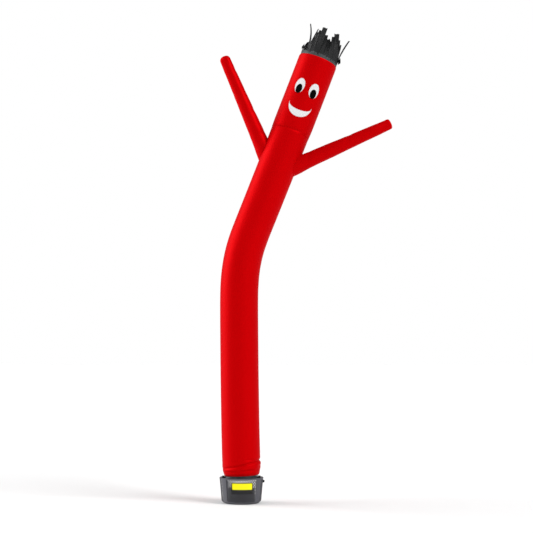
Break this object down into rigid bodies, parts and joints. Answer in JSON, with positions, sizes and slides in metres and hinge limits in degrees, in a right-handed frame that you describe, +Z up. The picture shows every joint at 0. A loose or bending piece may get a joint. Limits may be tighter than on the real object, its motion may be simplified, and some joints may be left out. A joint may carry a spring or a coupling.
{
  "type": "inflatable air dancer on a floor blower",
  "caption": "Tall leaning nylon tube figure with raised arms, a smiling face and fringe hair, blown up by a round drum blower standing on the floor.",
  "frame": {"origin": "centre of the blower's flat foot, on the floor", "axes": "+Z up, -Y towards the front that the face looks to, +X to the right seen from the front"},
  "size_m": [2.0817, 0.7573, 5.7815],
  "materials": {
    "red_nylon": "coated nylon with a soft satin sheen",
    "hair_satin": "black satin, glossy along the folds",
    "white_felt": "matte white cloth patch",
    "black_felt": "matte black cloth patch",
    "drum_plastic": "dark grey moulded plastic, satin",
    "collar_plastic": "glossy black plastic",
    "motor_steel": "painted dark grey steel",
    "plate_black": "black printed plate",
    "plate_yellow": "plain yellow printed plate",
    "black_rubber": "black rubber"
  },
  "bodies": {
    "root": {"body_tube": "red_nylon", "head_tube": "red_nylon", "arm_left": "red_nylon", "arm_right": "red_nylon", "hair": "hair_satin", "eye_left": "white_felt", "eye_right": "white_felt", "pupil_left": "black_felt", "pupil_right": "black_felt", "smile": "white_felt", "blower_drum": "drum_plastic", "outlet_collar": "collar_plastic", "blower_motor": "motor_steel", "nameplate": "plate_black", "nameplate_face": "plate_yellow", "deck_bolt_left": "black_rubber", "deck_bolt_right": "black_rubber", "side_bolt": "black_rubber", "cord_gland": "black_rubber"}
  },
  "joints": []
}
